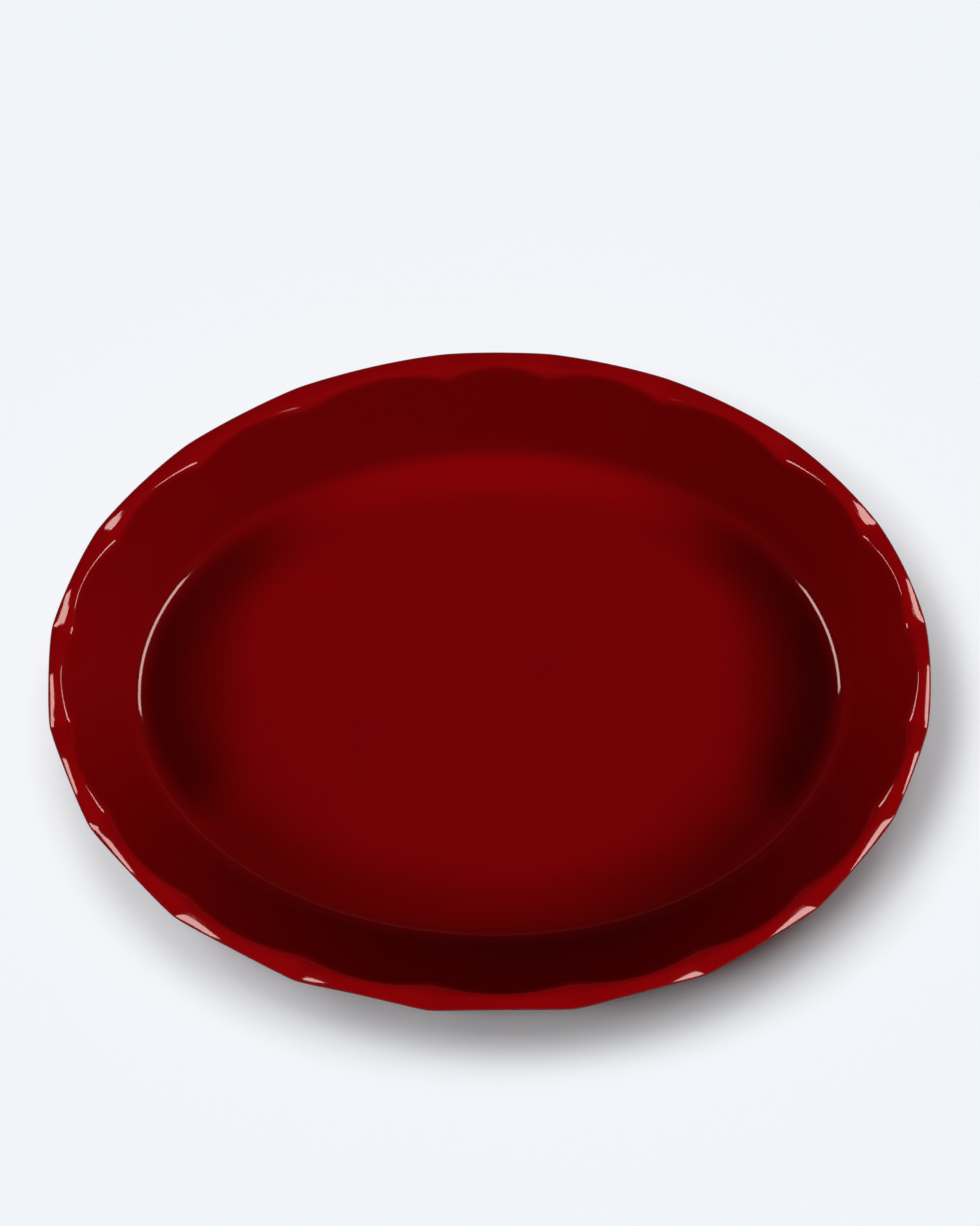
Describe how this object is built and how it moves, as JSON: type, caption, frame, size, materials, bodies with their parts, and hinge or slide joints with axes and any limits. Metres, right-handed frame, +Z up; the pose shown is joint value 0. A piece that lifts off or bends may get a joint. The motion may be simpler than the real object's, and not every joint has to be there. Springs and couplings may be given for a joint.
{
  "type": "oval baking dish",
  "caption": "Oval baking dish of glazed stoneware with a flat floor, a smooth flared wall and a narrow ruffled rim, standing on a bare foot ring.",
  "frame": {"origin": "middle of the plane that the foot stands on", "axes": "+Z up out of the dish, +X along its length, +Y across its width"},
  "size_m": [0.33, 0.2474, 0.056],
  "materials": {
    "clay": "bare fired stoneware, matt",
    "glaze": "deep red glaze, high gloss"
  },
  "bodies": {
    "root": {"floor": "clay", "side_wall": "clay", "ruffled_rim": "clay", "foot_ring": "clay", "inside_glaze": "glaze", "rim_glaze": "glaze", "outside_glaze": "glaze", "underside_glaze": "glaze"}
  },
  "joints": []
}
